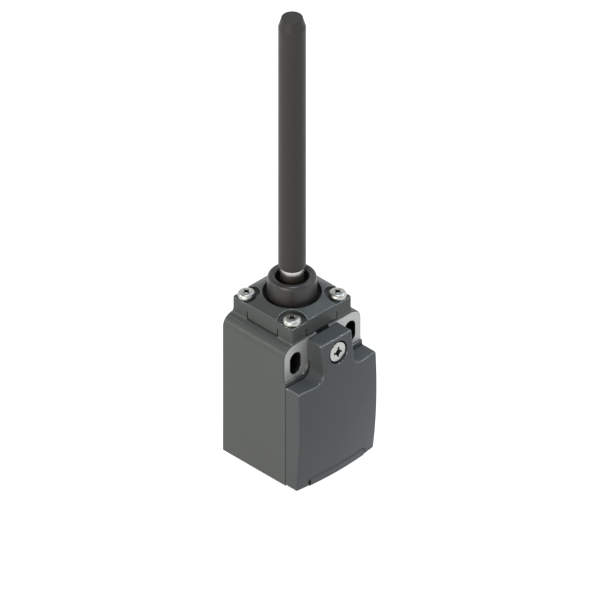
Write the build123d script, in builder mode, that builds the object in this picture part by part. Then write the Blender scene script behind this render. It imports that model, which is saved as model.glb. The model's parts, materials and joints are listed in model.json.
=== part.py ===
from build123d import *
import math
import os

os.makedirs("parts", exist_ok=True)

# Rod lever limit switch, in millimetres. X runs across the front, Y to the back and Z up the rod.
# The origin is the centre of the conduit entry in the bottom face, on the rod's axis.

# Case
case_width = 31.2
case_back = 12.6
rim_front = 12.9
case_top = 46.8
pad_step = 0.6
pad_bottom = 35.5
pad_inner = 6.3
pad_corner = 3.0
strip_spare = 0.1
shoulder_angle = 16
edge_round = 0.45
case_edge = 0.35
back_relief = 0.2
back_relief_low = 6.5
back_relief_high = 34.0
top_notch_width = 5.0
top_notch_height = 1.0
top_notch_deep = 0.6
pick = 0.1

# Inside of the case
side_wall = 2.5
back_wall = 2.3
floor_wall = 7.0
cavity_top = 31.8
cavity_corner = 1.6
conduit_radius = 9.19
conduit_chamfer = 0.45

# Slots that fix the switch to a machine
slot_centres = 22.0
slot_width = 4.4
slot_length = 7.3
slot_drop = 6.5

# Head
head_width = 24.0
head_corner = 0.5
head_rise = 2.67
dome_rise = 1.54
head_bore = 8.55
head_bore_land = 0.35
seam = 0.03
post_inner = 6.2
post_rise = 2.8
post_fillet = 0.8
post_fairing_drop = 3.2
tongue_thick = 2.2
tongue_side_gap = 0.2
tongue_foot_gap = 0.4
pocket_centre = 9.7
pocket_radius = 4.6
pocket_sunk = 0.3
head_floor = 1.05

# Head screws
head_screw_at = 9.2
head_screw_radius = 1.5
head_screw_bite = 4.6
head_screw_head_radius = 2.65
head_screw_head_height = 1.8
head_screw_round = 0.65
screw_clearance = 0.15
thread_fit = 0.02

# Rocker, its socket and the rod
pivot_drop = 0.8
ball_radius = 6.0
socket_clearance = 0.05
neck_radius = 3.35
neck_height = 15.1
ring_radius = 3.525
ring_height = 1.5
rod_radius = 4.0
rod_length = 86.8
rod_tip_radius = 3.1
rod_tip_length = 3.1
rod_foot_radius = 3.6
rod_foot_length = 0.6
core_radius = 2.0
core_above_pivot = 6.0
core_short = 9.4
tilt_limit = 18
sweep_clearance = 0.3

# Bearing ring and head seal
bearing_radius = 7.7
bearing_recess = 0.45
bearing_float = 0.05
head_seal_thick = 0.8
head_seal_gap = 0.1

# Boot
boot_flange_radius = 8.85
boot_flange_height = 1.0
boot_groove_clearance = 0.08
boot_foot_radius = 7.3
boot_rim_radius = 7.1
boot_rim_tube = 1.2
boot_height = 6.9
boot_wall = 1.0
boot_grip_drop = 3.6
boot_grip_length = 1.6
soft_gap = 0.05

# Plunger and its spring
plunger_gap = 0.03
plunger_disc = 2.0
plunger_stem = 2.0
plunger_bore_clearance = 0.3
plunger_bore_depth = 7.4
stem_clearance = 0.05
head_spring_wire = 0.4
head_spring_radius = 5.3
head_spring_turns = 3
spring_boss_gap = 0.3
spring_boss_height = 1.0
stem_seal_radius = 4.0
stem_seal_height = 1.2
stem_hole_overlap = 1.0

# Cover
parting_gap = 0.2
cover_shoulder_drop = 1.2
tab_half = 6.05
tab_drop = 0.4
tab_fillet = 3.0
cover_corner = 0.7
cover_edge = 0.6
barrel_front = 19.9
barrel_height = 22.5
barrel_across = 110.0
barrel_up = 170.0
barrel_turn = 10
barrel_spare = 1.0
cover_wall = 1.8
cover_hollow_side = 2.2
cover_hollow_low = 6.0
cover_hollow_high = 32.0

# Gasket between case and cover
gasket_in = 1.3
gasket_low = 5.2
gasket_high = 33.0
gasket_width = 1.2
gasket_depth = 0.7
gasket_gap = 0.02

# Hinge at the foot of the cover
hinge_proud = 2.2
hinge_height = 1.4
hinge_pin_radius = 0.8
hinge_clearance = 0.05
knuckle_in = 4.8
knuckle_height = 2.7
knuckle_proud = 0.25
knuckle_round = 0.2
slit_width = 0.6
slit_height = 2.2
ear_gap = 0.4
ear_width = 1.8
ear_root = 0.5
ear_radius = 1.35
ear_clearance = 0.2
pin_recess = 0.1
cover_foot_chamfer = 1.0

# Cover screw
cover_screw_drop = 5.1
cover_screw_radius = 1.95
cover_screw_head_radius = 3.2
cover_screw_head_height = 2.2
cover_screw_sunk = 0.2
cover_screw_round = 0.2
cover_screw_engaged = 2.8
cover_screw_bore = 3.6
cover_screw_hole_clearance = 0.25
case_screw_hole_clearance = 0.4
case_screw_hole_extra = 0.5
cover_seal_height = 0.78
cover_seal_radius = 3.1

# Contact block
block_in = 1.4
block_front = 4.5
block_low = 12.2
block_high = 30.6
block_wall = 1.8
pocket_half = 6.0
pocket_back = 3.5
plate_thick = 1.0
plate_gap = 0.05
level_nc = 25.7
level_no = 17.3
contact_thick = 0.8
contact_inner = 3.4
contact_in = 0.9
contact_bend_in = 0.6
contact_back = 1.2
contact_tip_front = 2.6
contact_slot_gap = 0.05
terminal_half = 2.0
terminal_height = 4.8
terminal_thick = 0.8
terminal_in = 2.9
bridge_half = 5.2
bridge_width = 3.0
bridge_thick = 0.6
contact_gap = 2.0
touch_gap = 0.03
carriage_half = 2.6
carriage_depth = 2.4
carriage_end_gap = 0.3
carriage_low = 15.95
carriage_stub = 1.9
stub_clearance = 0.25
bridge_slot_width = 3.3
bridge_slot_height = 2.5

# Small screws and clamps on the block
terminal_screw_radius = 1.1
terminal_screw_head = 1.8
terminal_screw_head_height = 1.3
terminal_screw_depth = 3.0
clamp_side = 3.8
clamp_thick = 0.7
block_screw_head = 1.7
block_screw_head_height = 1.2
block_screw_radius = 1.1
block_screw_bite = 1.3
block_screw_extra = 0.2
contact_spring_radius = 0.9
contact_spring_wire = 0.15
contact_spring_turns = 4
carriage_spring_radius = 1.9
carriage_spring_wire = 0.22
carriage_spring_turns = 4
spring_gap = 0.03

# Earth terminal
earth_height = 9.6
earth_boss_half = 2.2
earth_boss_front = 6.0
earth_screw_radius = 1.5
earth_screw_head = 2.1
earth_screw_head_height = 1.6
earth_screw_depth = 6.0
earth_clamp_side = 4.2
earth_clamp_thick = 0.8

# Values worked out from the sizes above
case_half = case_width / 2
head_half = head_width / 2
shoulder_radius = case_half - head_half
pivot_height = case_top - pivot_drop
post_top = case_top + post_rise
slot_height = case_top - slot_drop
pad_front = rim_front - pad_step
cavity_half = case_half - side_wall
cavity_back = case_back - back_wall
bearing_floor = case_top - bearing_recess
bearing_top = post_top
head_under = post_top + seam
head_edge = head_under + head_rise
head_top = head_edge + dome_rise
head_screw_seat = head_edge - pocket_sunk
head_screw_end = head_under - head_screw_bite
head_floor_top = head_under + head_floor
neck_top = pivot_height + neck_height
rod_foot = neck_top + ring_height
rod_end = rod_foot + rod_length
core_bottom = pivot_height + core_above_pivot
core_top = rod_end - core_short
boot_low = head_floor_top + thread_fit
boot_flange_top = boot_low + boot_flange_height
boot_rim_height = boot_flange_top + boot_height
boot_grip_high = boot_rim_height - boot_grip_drop
boot_grip_low = boot_grip_high - boot_grip_length
plunger_bore = ball_radius + plunger_bore_clearance
plunger_bore_floor = pivot_height - plunger_bore_depth
plunger_top = pivot_height - plunger_gap
plunger_under = plunger_top - plunger_disc
stem_hole = plunger_stem + stem_clearance
cover_rear = rim_front + parting_gap
tab_rear = pad_front + parting_gap
strip_top = pad_bottom + pad_corner + strip_spare
cover_shoulder = pad_bottom - cover_shoulder_drop
tab_top = case_top - tab_drop
cover_hollow_half = case_half - cover_hollow_side
cover_screw_height = case_top - cover_screw_drop
gasket_half = case_half - gasket_in
hinge_out = cover_rear + hinge_proud
knuckle_half = case_half - knuckle_in
ear_inner = knuckle_half + ear_gap
ear_outer = ear_inner + ear_width
block_half = cavity_half - block_in
terminal_at = block_half - terminal_in
contact_outer = block_half - contact_in
contact_bend = terminal_at - contact_bend_in
earth_out = cavity_half - earth_boss_half
tilt = math.radians(tilt_limit)
shoulder_corner = case_top - (case_half - head_half) * math.tan(math.radians(shoulder_angle))
nc_under = level_nc - contact_thick / 2
no_top = level_no + contact_thick / 2
nc_bridge_low = nc_under - touch_gap - bridge_thick
no_bridge_low = no_top + contact_gap
block_pocket_low = block_low + block_wall
block_pocket_high = block_high - block_wall
plunger_stroke = ball_radius * math.tan(tilt)
carriage_bottom = carriage_low + plunger_stroke
carriage_top = block_pocket_high - carriage_end_gap
stub_top = block_high + carriage_end_gap
stem_bottom = stub_top + touch_gap
barrel_axis = barrel_across - barrel_front
block_screw_height = (level_nc + level_no) / 2
nc_window_low = nc_bridge_low + bridge_thick + touch_gap - bridge_slot_height
terminal_places = [
    (side * terminal_at, level) for side in (-1, 1) for level in (level_nc, level_no)
]


def facing_front(distance):
    """A plane that faces the front, this far in front of the rod's axis."""
    return Plane.XZ.offset(distance)


def sweep_radius(height):
    """Radius that the neck reaches at full tilt, at this height above the pivot."""
    return height * math.tan(tilt) + neck_radius / math.cos(tilt)


def save(builder, name):
    """Label a finished piece and write it."""
    builder.part.label = name
    export_step(builder.part, f"parts/{name}.step")


def barrel(inset, mode):
    """The double-curved front of the cover as a swept band, moved back by inset."""
    half_turn = math.radians(barrel_turn)
    out = (-math.sin(half_turn), -math.cos(half_turn), 0)
    side = (-math.cos(half_turn), math.sin(half_turn), 0)
    crown = barrel_across - inset
    round_up = barrel_up - inset
    back = barrel_axis + rim_front - parting_gap
    low, high = -barrel_spare, tab_top + barrel_spare

    def reach(height):
        return crown - round_up + math.sqrt(round_up**2 - (height - barrel_height) ** 2)

    with BuildSketch(Plane(origin=(0, barrel_axis, 0), x_dir=out, z_dir=side)) as section:
        with BuildLine():
            ThreePointArc((reach(low), low), (crown, barrel_height), (reach(high), high))
            Polyline((reach(high), high), (back, high), (back, low), (reach(low), low))
        make_face()
    turn = Axis((0, barrel_axis, 0), (0, 0, 1))
    revolve(section.sketch, axis=turn, revolution_arc=2 * barrel_turn, mode=mode)


def barrel_at(height):
    """How far the cover's front stands out on its middle line at this height."""
    return barrel_front - barrel_up + math.sqrt(barrel_up**2 - (height - barrel_height) ** 2)


cover_head_face = barrel_at(cover_screw_height) - cover_screw_sunk
cover_head_seat = cover_head_face - cover_screw_head_height
cover_seal_seat = cover_head_seat - cover_seal_height - thread_fit


def gasket_outline(inset):
    """The gasket's closed loop, as a sketch, smaller on every side by inset."""
    middle = (0, (gasket_low + gasket_high) / 2)
    half = gasket_width / 2 - inset
    with Locations(middle):
        RectangleRounded(
            2 * (gasket_half + half), gasket_high - gasket_low + 2 * half, cavity_corner + half
        )
        RectangleRounded(
            2 * (gasket_half - half),
            gasket_high - gasket_low - 2 * half,
            cavity_corner - half,
            mode=Mode.SUBTRACT,
        )


def spring(radius, wire, low, high, turns, centre=(0, 0)):
    """A round wire compression spring that stands on low and reaches high."""
    rise = high - low - 2 * wire
    with BuildLine():
        path = Helix(rise / turns, rise, radius, center=(centre[0], centre[1], low + wire))
    with BuildSketch(Plane(origin=path @ 0, z_dir=path % 0)) as section:
        RegularPolygon(wire, 6)
    sweep(section.sketch, path=path, is_frenet=True)


# Case: lower block first, with its upright edges rounded
with BuildPart() as housing:
    with BuildSketch():
        with Locations((0, (case_back - rim_front) / 2)):
            Rectangle(case_width, case_back + rim_front)
    extrude(amount=pad_bottom)
    uprights = housing.edges().filter_by(Axis.Z)
    fillet(uprights.group_by(Axis.Y)[-1], case_edge)
    chamfer(uprights.group_by(Axis.Y)[0], case_edge / 2)

    # Shoulders and top, set back behind the rim to leave the slot pads
    with BuildSketch(facing_front(pad_front)) as shoulders:
        Polygon(
            (-case_half, pad_bottom),
            (case_half, pad_bottom),
            (case_half, shoulder_corner),
            (head_half, case_top),
            (-head_half, case_top),
            (-case_half, shoulder_corner),
            align=None,
        )
        fillet(shoulders.vertices().group_by(Axis.Y)[1], shoulder_radius)
    extrude(amount=-(case_back + pad_front))
    for plane_y in (-pad_front, case_back):
        rounded = housing.edges().filter_by_position(Axis.Y, plane_y - pick, plane_y + pick)
        rounded = rounded.filter_by_position(Axis.Z, pad_bottom + pick, case_top + pick)
        fillet(rounded, edge_round)

    # Rim's step up to the tab, and a notch in the case's top edge
    with BuildSketch(facing_front(pad_front)) as strip:
        with Locations((0, (pad_bottom + strip_top) / 2)):
            Rectangle(2 * pad_inner, strip_top - pad_bottom)
        with Locations((0, pad_bottom - edge_round)):
            Rectangle(case_width - 2 * case_edge, 2 * edge_round)
        inner = strip.vertices().filter_by_position(Axis.X, -pad_inner - pick, pad_inner + pick)
        fillet(inner.group_by(Axis.Y)[0], pad_corner)
    extrude(amount=pad_step)
    with BuildSketch(facing_front(head_half - top_notch_deep)):
        with Locations((0, case_top - top_notch_height / 2)):
            Rectangle(top_notch_width, top_notch_height)
    extrude(amount=rim_front - head_half + top_notch_deep, mode=Mode.SUBTRACT)

    # Corner posts, faired into the shoulders
    for side in (-1, 1):
        with BuildSketch(facing_front(side * head_half)) as posts:
            for hand in (-1, 1):
                with Locations((hand * (post_inner + head_half) / 2, (pivot_height + post_top) / 2)):
                    Rectangle(head_half - post_inner, post_top - pivot_height)
            Polygon(
                (-case_half, shoulder_corner - post_fairing_drop),
                (case_half, shoulder_corner - post_fairing_drop),
                (case_half, shoulder_corner),
                (head_half, case_top),
                (-head_half, case_top),
                (-case_half, shoulder_corner),
                align=None,
            )
            feet = posts.vertices().filter_by_position(Axis.Y, case_top - pick, case_top + pick)
            fillet(feet.filter_by(lambda v: abs(v.X) > head_half - pick), post_fillet)
            with BuildSketch(mode=Mode.SUBTRACT):
                for hand in (-1, 1):
                    with Locations((hand * case_half, pivot_height)):
                        Rectangle(
                            2 * (case_half - head_half - 2 * post_fillet), 2 * (post_top - pad_bottom)
                        )
        extrude(amount=-side * (head_half - post_inner))
    with BuildSketch(Plane.XY.offset(post_top)):
        Rectangle(head_width, head_width)
        RectangleRounded(head_width, head_width, head_corner, mode=Mode.SUBTRACT)
    extrude(amount=case_top + post_fillet - post_top, mode=Mode.SUBTRACT)

    # Cavity behind the cover, open to the front
    cavity_middle = (floor_wall + cavity_top) / 2
    with BuildSketch(facing_front(-cavity_back)):
        with Locations((0, cavity_middle)):
            RectangleRounded(2 * cavity_half, cavity_top - floor_wall, cavity_corner)
    extrude(amount=cavity_back + rim_front, mode=Mode.SUBTRACT)

    # Earth boss in the corner of the cavity
    with BuildSketch(facing_front(-cavity_back)):
        boss_low = floor_wall - cavity_corner
        boss_high = earth_height + earth_boss_half
        with Locations((cavity_half + cavity_corner / 2 - earth_boss_half, (boss_low + boss_high) / 2)):
            Rectangle(2 * earth_boss_half + cavity_corner, boss_high - boss_low)
    extrude(amount=cavity_back + earth_boss_front)

    # Conduit entry from below
    with BuildSketch():
        Circle(conduit_radius)
    extrude(amount=floor_wall, mode=Mode.SUBTRACT)
    mouth = housing.edges().filter_by(GeomType.CIRCLE).group_by(Axis.Z)[0]
    chamfer(mouth.filter_by(lambda e: abs(e.radius - conduit_radius) < pick), conduit_chamfer)

    # Bores down the rod's axis: bearing recess, plunger bore, stem seal and stem hole
    for radius, low, high in (
        (bearing_radius + socket_clearance, bearing_floor, post_top),
        (plunger_bore, plunger_bore_floor, case_top),
        (stem_seal_radius, plunger_bore_floor - stem_seal_height, case_top),
        (stem_hole, cavity_top - stem_hole_overlap, case_top),
    ):
        with BuildSketch(Plane.XY.offset(low)):
            Circle(radius)
        extrude(amount=high - low, mode=Mode.SUBTRACT)

    # Fixing slots
    with BuildSketch(facing_front(rim_front)):
        with Locations(*[(side * slot_centres / 2, slot_height) for side in (-1, 1)]):
            SlotOverall(slot_length, slot_width, rotation=90)
    extrude(amount=-(case_back + rim_front), mode=Mode.SUBTRACT)

    # Screw holes: head screws, cover screw, block screws and earth screw
    with BuildSketch(Plane.XY.offset(post_top)):
        with GridLocations(2 * head_screw_at, 2 * head_screw_at, 2, 2):
            Circle(head_screw_radius + thread_fit)
    extrude(amount=head_screw_end - screw_clearance - post_top, mode=Mode.SUBTRACT)
    with BuildSketch(facing_front(rim_front)):
        with Locations((0, cover_screw_height)):
            Circle(cover_screw_radius + case_screw_hole_clearance)
    extrude(amount=-(cover_screw_engaged + case_screw_hole_extra), mode=Mode.SUBTRACT)
    with BuildSketch(facing_front(-cavity_back)):
        with Locations(*[(side * terminal_at, block_screw_height) for side in (-1, 1)]):
            Circle(block_screw_radius + thread_fit)
    extrude(amount=-(block_screw_bite + block_screw_extra), mode=Mode.SUBTRACT)
    with BuildSketch(facing_front(earth_boss_front)):
        with Locations((earth_out, earth_height)):
            Circle(earth_screw_radius + thread_fit)
    extrude(amount=-(earth_screw_depth + block_screw_extra), mode=Mode.SUBTRACT)

    # Groove for the gasket round the cavity's mouth
    with BuildSketch(facing_front(rim_front)):
        gasket_outline(0)
    extrude(amount=-gasket_depth, mode=Mode.SUBTRACT)

    # Back face relieved between two bearing pads
    with BuildSketch(Plane.YZ.offset(-case_half)):
        with Locations((case_back, (back_relief_low + back_relief_high) / 2)):
            Rectangle(2 * back_relief, back_relief_high - back_relief_low)
    extrude(amount=case_width, mode=Mode.SUBTRACT)

    # Hinge ears, in front of the rim
    for side in (-1, 1):
        with BuildSketch(Plane.YZ.offset(side * ear_inner)):
            with Locations((-hinge_out, hinge_height)):
                Circle(ear_radius)
            with Locations((-(hinge_out + rim_front) / 2 + ear_root / 2, hinge_height)):
                Rectangle(hinge_out - rim_front + ear_root, 2 * ear_radius)
            with Locations((-hinge_out, hinge_height)):
                Circle(hinge_pin_radius, mode=Mode.SUBTRACT)
        extrude(amount=side * (ear_outer - ear_inner))
save(housing, "housing")

# Head: square flange, dome to the bore's rim, tongues between the posts
with BuildPart() as head:
    with BuildSketch(Plane.XY.offset(head_under)):
        RectangleRounded(head_width, head_width, head_corner)
    extrude(amount=head_edge - head_under)
    with BuildSketch(Plane.XY.offset(head_edge)):
        Rectangle(head_width, head_width)
    with BuildSketch(Plane.XY.offset(head_top)):
        Circle(head_bore + head_bore_land)
    loft(ruled=True)
    with BuildSketch(Plane.XY.offset(head_screw_seat)):
        with GridLocations(2 * pocket_centre, 2 * pocket_centre, 2, 2):
            Circle(pocket_radius)
    extrude(amount=head_top - head_screw_seat, mode=Mode.SUBTRACT)
    tongue_width = 2 * (post_inner - tongue_side_gap)
    with BuildSketch(Plane.XY.offset(head_under)):
        with Locations((0, head_half - tongue_thick / 2), (0, tongue_thick / 2 - head_half)):
            Rectangle(tongue_width, tongue_thick)
        with Locations((head_half - tongue_thick / 2, 0), (tongue_thick / 2 - head_half, 0)):
            Rectangle(tongue_thick, tongue_width)
    extrude(amount=case_top + tongue_foot_gap - head_under)
    groove_top = head_floor_top + boot_flange_height + 2 * boot_groove_clearance
    for radius, low, high in (
        (head_bore, head_floor_top, head_top),
        (boot_flange_radius + boot_groove_clearance, head_floor_top, groove_top),
        (sweep_radius(head_floor_top - pivot_height) + sweep_clearance, head_under, head_top),
    ):
        with BuildSketch(Plane.XY.offset(low)):
            Circle(radius)
        extrude(amount=high - low, mode=Mode.SUBTRACT)
    with BuildSketch(Plane.XY.offset(head_edge)):
        with GridLocations(2 * head_screw_at, 2 * head_screw_at, 2, 2):
            Circle(head_screw_radius + screw_clearance)
    extrude(amount=head_under - head_edge, mode=Mode.SUBTRACT)
save(head, "head")

# Pan head screws of the head
with BuildPart() as head_screws:
    with BuildSketch(Plane.XY.offset(head_screw_end)):
        with GridLocations(2 * head_screw_at, 2 * head_screw_at, 2, 2):
            Circle(head_screw_radius)
    extrude(amount=head_screw_seat - head_screw_end)
    with BuildSketch(Plane.XY.offset(head_screw_seat)):
        with GridLocations(2 * head_screw_at, 2 * head_screw_at, 2, 2):
            Circle(head_screw_head_radius)
    extrude(amount=head_screw_head_height)
    fillet(head_screws.edges().group_by(Axis.Z)[-1], head_screw_round)
save(head_screws, "head_screws")

# Rubber seal between case and head, round the bearing
with BuildPart() as head_seal:
    with BuildSketch(Plane.XY.offset(case_top + thread_fit)):
        Circle(bearing_radius + head_seal_gap + head_seal_thick)
        Circle(bearing_radius + head_seal_gap, mode=Mode.SUBTRACT)
    extrude(amount=head_under - case_top - 2 * thread_fit)
save(head_seal, "head_seal")

# Bearing ring with the spherical socket of the rocker
with BuildPart() as bearing_ring:
    with BuildSketch(Plane.XY.offset(bearing_floor + bearing_float)):
        Circle(bearing_radius)
    extrude(amount=bearing_top - bearing_floor - bearing_float)
    with Locations((0, 0, pivot_height)):
        Sphere(ball_radius + socket_clearance, mode=Mode.SUBTRACT)
save(bearing_ring, "bearing_ring")

# Rocker: half ball with its flat face down, and the neck
with BuildPart() as rocker:
    with BuildSketch(Plane.XZ):
        ball_top = pivot_height + math.sqrt(ball_radius**2 - neck_radius**2)
        middle = math.acos(neck_radius / ball_radius) / 2
        with BuildLine():
            Polyline((0, neck_top), (0, pivot_height), (ball_radius, pivot_height))
            ThreePointArc(
                (ball_radius, pivot_height),
                (ball_radius * math.cos(middle), pivot_height + ball_radius * math.sin(middle)),
                (neck_radius, ball_top),
            )
            Polyline((neck_radius, ball_top), (neck_radius, neck_top), (0, neck_top))
        make_face()
    revolve(axis=Axis.Z)
    with BuildSketch(Plane.XY.offset(core_bottom)):
        Circle(core_radius)
    extrude(amount=neck_top - core_bottom, mode=Mode.SUBTRACT)
save(rocker, "rocker")

with BuildPart() as rod_core:
    with BuildSketch(Plane.XY.offset(core_bottom)):
        Circle(core_radius)
    extrude(amount=core_top - core_bottom)
save(rod_core, "rod_core")

with BuildPart() as rod_ring:
    with BuildSketch(Plane.XY.offset(neck_top)):
        Circle(ring_radius)
        Circle(core_radius, mode=Mode.SUBTRACT)
    extrude(amount=ring_height)
save(rod_ring, "rod_ring")

# Rod: long sleeve on the core, with a rounded foot and a coned tip
with BuildPart() as rod:
    with BuildSketch(Plane.XZ):
        with BuildLine():
            Polyline(
                (0, rod_foot),
                (rod_foot_radius, rod_foot),
                (rod_radius, rod_foot + rod_foot_length),
                (rod_radius, rod_end - rod_tip_length),
                (rod_tip_radius, rod_end),
                (0, rod_end),
                close=True,
            )
        make_face()
    revolve(axis=Axis.Z)
    with BuildSketch(Plane.XY.offset(rod_foot)):
        Circle(core_radius)
    extrude(amount=core_top - rod_foot, mode=Mode.SUBTRACT)
save(rod, "rod")

# Boot: a flange held in the head's groove, an outer wall, a rolled rim and a grip on the neck
with BuildPart() as boot:
    with BuildSketch(Plane.XZ):
        rim_middle = boot_rim_radius - boot_rim_tube
        inside = boot_rim_tube - boot_wall
        grip = neck_radius + soft_gap
        with BuildLine():
            Polyline(
                (boot_rim_radius, boot_rim_height),
                (boot_foot_radius, boot_flange_top),
                (boot_flange_radius, boot_flange_top),
                (boot_flange_radius, boot_low),
                (boot_foot_radius - boot_wall, boot_low),
                (boot_rim_radius - boot_wall, boot_rim_height),
            )
            ThreePointArc(
                (rim_middle + inside, boot_rim_height),
                (rim_middle, boot_rim_height + inside),
                (rim_middle - inside, boot_rim_height),
            )
            Polyline(
                (rim_middle - inside, boot_rim_height),
                (grip + boot_wall, boot_grip_high),
                (grip + boot_wall, boot_grip_low),
                (grip, boot_grip_low),
                (grip, boot_grip_high),
                (rim_middle - boot_rim_tube, boot_rim_height),
            )
            ThreePointArc(
                (rim_middle - boot_rim_tube, boot_rim_height),
                (rim_middle, boot_rim_height + boot_rim_tube),
                (boot_rim_radius, boot_rim_height),
            )
        make_face()
    revolve(axis=Axis.Z)
save(boot, "boot")

# Plunger: disc under the rocker, spring boss and stem
with BuildPart() as plunger:
    with BuildSketch(Plane.XY.offset(plunger_under)):
        Circle(ball_radius)
    extrude(amount=plunger_disc)
    with BuildSketch(Plane.XY.offset(plunger_under)):
        Circle(head_spring_radius - head_spring_wire - spring_boss_gap)
    extrude(amount=-spring_boss_height)
    with BuildSketch(Plane.XY.offset(stem_bottom)):
        Circle(plunger_stem)
    extrude(amount=plunger_under - stem_bottom)
save(plunger, "plunger")

with BuildPart() as head_spring:
    spring(
        head_spring_radius,
        head_spring_wire,
        plunger_bore_floor + spring_gap,
        plunger_under - spring_gap,
        head_spring_turns,
    )
save(head_spring, "head_spring")

with BuildPart() as stem_seal:
    with BuildSketch(Plane.XY.offset(plunger_bore_floor - stem_seal_height)):
        Circle(stem_seal_radius)
        Circle(stem_hole, mode=Mode.SUBTRACT)
    extrude(amount=stem_seal_height)
save(stem_seal, "stem_seal")

# Space inside the cover, kept behind its curved front by the wall
with BuildPart() as cover_hollow:
    with BuildSketch(facing_front(cover_rear)):
        with Locations((0, (cover_hollow_low + cover_hollow_high) / 2)):
            RectangleRounded(
                2 * cover_hollow_half, cover_hollow_high - cover_hollow_low, cavity_corner
            )
    extrude(amount=barrel_front - cover_rear)
    barrel(cover_wall, Mode.INTERSECT)

# Knuckle bar, a little proud of the cover's front
with BuildPart() as cover_knuckle:
    with BuildSketch(facing_front(cover_rear)):
        with Locations((0, knuckle_height / 2)):
            Rectangle(2 * knuckle_half, knuckle_height)
    extrude(amount=barrel_front - cover_rear)
    barrel(-knuckle_proud, Mode.INTERSECT)
    front_edges = cover_knuckle.faces().sort_by(Axis.Y)[0].edges()
    fillet(front_edges.sort_by(Axis.Z)[0], cover_edge)
    front_edges = cover_knuckle.faces().sort_by(Axis.Y)[0].edges()
    fillet(front_edges.sort_by(Axis.Z)[-1], knuckle_round)

# Cover: outline with a tab, cut by the barrel, rounded at the front
with BuildPart() as cover:
    with BuildSketch(facing_front(cover_rear)) as outline:
        with Locations((0, cover_shoulder / 2)):
            Rectangle(case_width, cover_shoulder)
        with Locations((0, tab_top / 2)):
            Rectangle(2 * tab_half, tab_top)
        inner = outline.vertices().filter_by_position(Axis.Y, cover_shoulder - pick, cover_shoulder + pick)
        fillet(inner.filter_by_position(Axis.X, -tab_half - pick, tab_half + pick), tab_fillet)
        fillet(outline.vertices().group_by(Axis.Y)[0], cover_corner)
        fillet(outline.vertices().group_by(Axis.Y)[-1], cover_corner)
        ends = outline.vertices().filter_by_position(Axis.Y, cover_shoulder - pick, cover_shoulder + pick)
        fillet(ends.filter_by(lambda v: abs(v.X) > case_half - pick), cover_corner)
    extrude(amount=barrel_front - cover_rear)
    barrel(0, Mode.INTERSECT)
    fillet(cover.faces().sort_by(Axis.Y)[0].edges(), cover_edge)
    with BuildSketch(facing_front(tab_rear)) as tab_back:
        with Locations((0, (strip_top + parting_gap + tab_top) / 2)):
            Rectangle(2 * tab_half, tab_top - strip_top - parting_gap)
        fillet(tab_back.vertices().group_by(Axis.Y)[-1], cover_corner)
    extrude(amount=cover_rear - tab_rear)
    add(cover_hollow.part, mode=Mode.SUBTRACT)
    add(cover_knuckle.part)

    # Foot: chamfer behind, pockets for the ears, slits at the knuckle's ends and the pin's bore
    with BuildSketch(Plane.YZ.offset(-case_half)):
        Polygon(
            (-cover_rear, 0),
            (-cover_rear, cover_foot_chamfer),
            (-cover_rear - cover_foot_chamfer, 0),
            align=None,
        )
    extrude(amount=case_width, mode=Mode.SUBTRACT)
    for side in (-1, 1):
        with BuildSketch(Plane.YZ.offset(side * knuckle_half)):
            reach = ear_radius + ear_clearance
            Polygon(
                (-hinge_out - reach, 0),
                (-hinge_out - reach, hinge_height + reach),
                (-cover_rear, hinge_height + reach),
                (-cover_rear, 0),
                align=None,
            )
        extrude(amount=side * (ear_outer + ear_clearance - knuckle_half), mode=Mode.SUBTRACT)
        with BuildSketch(facing_front(hinge_out)):
            with Locations((side * (knuckle_half + slit_width / 2), slit_height / 2)):
                Rectangle(slit_width, slit_height)
        extrude(amount=barrel_front - hinge_out + barrel_spare, mode=Mode.SUBTRACT)
    with BuildSketch(Plane.YZ.offset(-case_half)):
        with Locations((-hinge_out, hinge_height)):
            Circle(hinge_pin_radius + hinge_clearance)
    extrude(amount=knuckle_half + case_half, mode=Mode.SUBTRACT)

    # Cover screw's counterbore and hole
    with BuildSketch(facing_front(tab_rear)):
        with Locations((0, cover_screw_height)):
            Circle(cover_screw_radius + cover_screw_hole_clearance)
    extrude(amount=barrel_front - tab_rear, mode=Mode.SUBTRACT)
    with BuildSketch(facing_front(cover_seal_seat)):
        with Locations((0, cover_screw_height)):
            Circle(cover_screw_bore)
    extrude(amount=barrel_front - cover_seal_seat, mode=Mode.SUBTRACT)
save(cover, "cover")

# Cover screw and the seal under its head
with BuildPart() as cover_screw:
    with BuildSketch(facing_front(cover_head_seat)):
        with Locations((0, cover_screw_height)):
            Circle(cover_screw_head_radius)
    extrude(amount=cover_screw_head_height)
    fillet(cover_screw.edges().group_by(Axis.Y)[0], cover_screw_round)
    with BuildSketch(facing_front(cover_head_seat)):
        with Locations((0, cover_screw_height)):
            Circle(cover_screw_radius)
    extrude(amount=rim_front - cover_screw_engaged - cover_head_seat)
save(cover_screw, "cover_screw")

with BuildPart() as cover_screw_seal:
    with BuildSketch(facing_front(cover_seal_seat + thread_fit)):
        with Locations((0, cover_screw_height)):
            Circle(cover_seal_radius)
            Circle(cover_screw_radius + thread_fit, mode=Mode.SUBTRACT)
    extrude(amount=cover_seal_height)
save(cover_screw_seal, "cover_screw_seal")

with BuildPart() as cover_gasket:
    with BuildSketch(facing_front(rim_front - gasket_depth)):
        gasket_outline(thread_fit)
    extrude(amount=gasket_depth + parting_gap - gasket_gap)
save(cover_gasket, "cover_gasket")

with BuildPart() as hinge_pin:
    with BuildSketch(Plane.YZ.offset(-ear_outer + pin_recess)):
        with Locations((-hinge_out, hinge_height)):
            Circle(hinge_pin_radius)
    extrude(amount=2 * (ear_outer - pin_recess))
save(hinge_pin, "hinge_pin")

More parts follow.
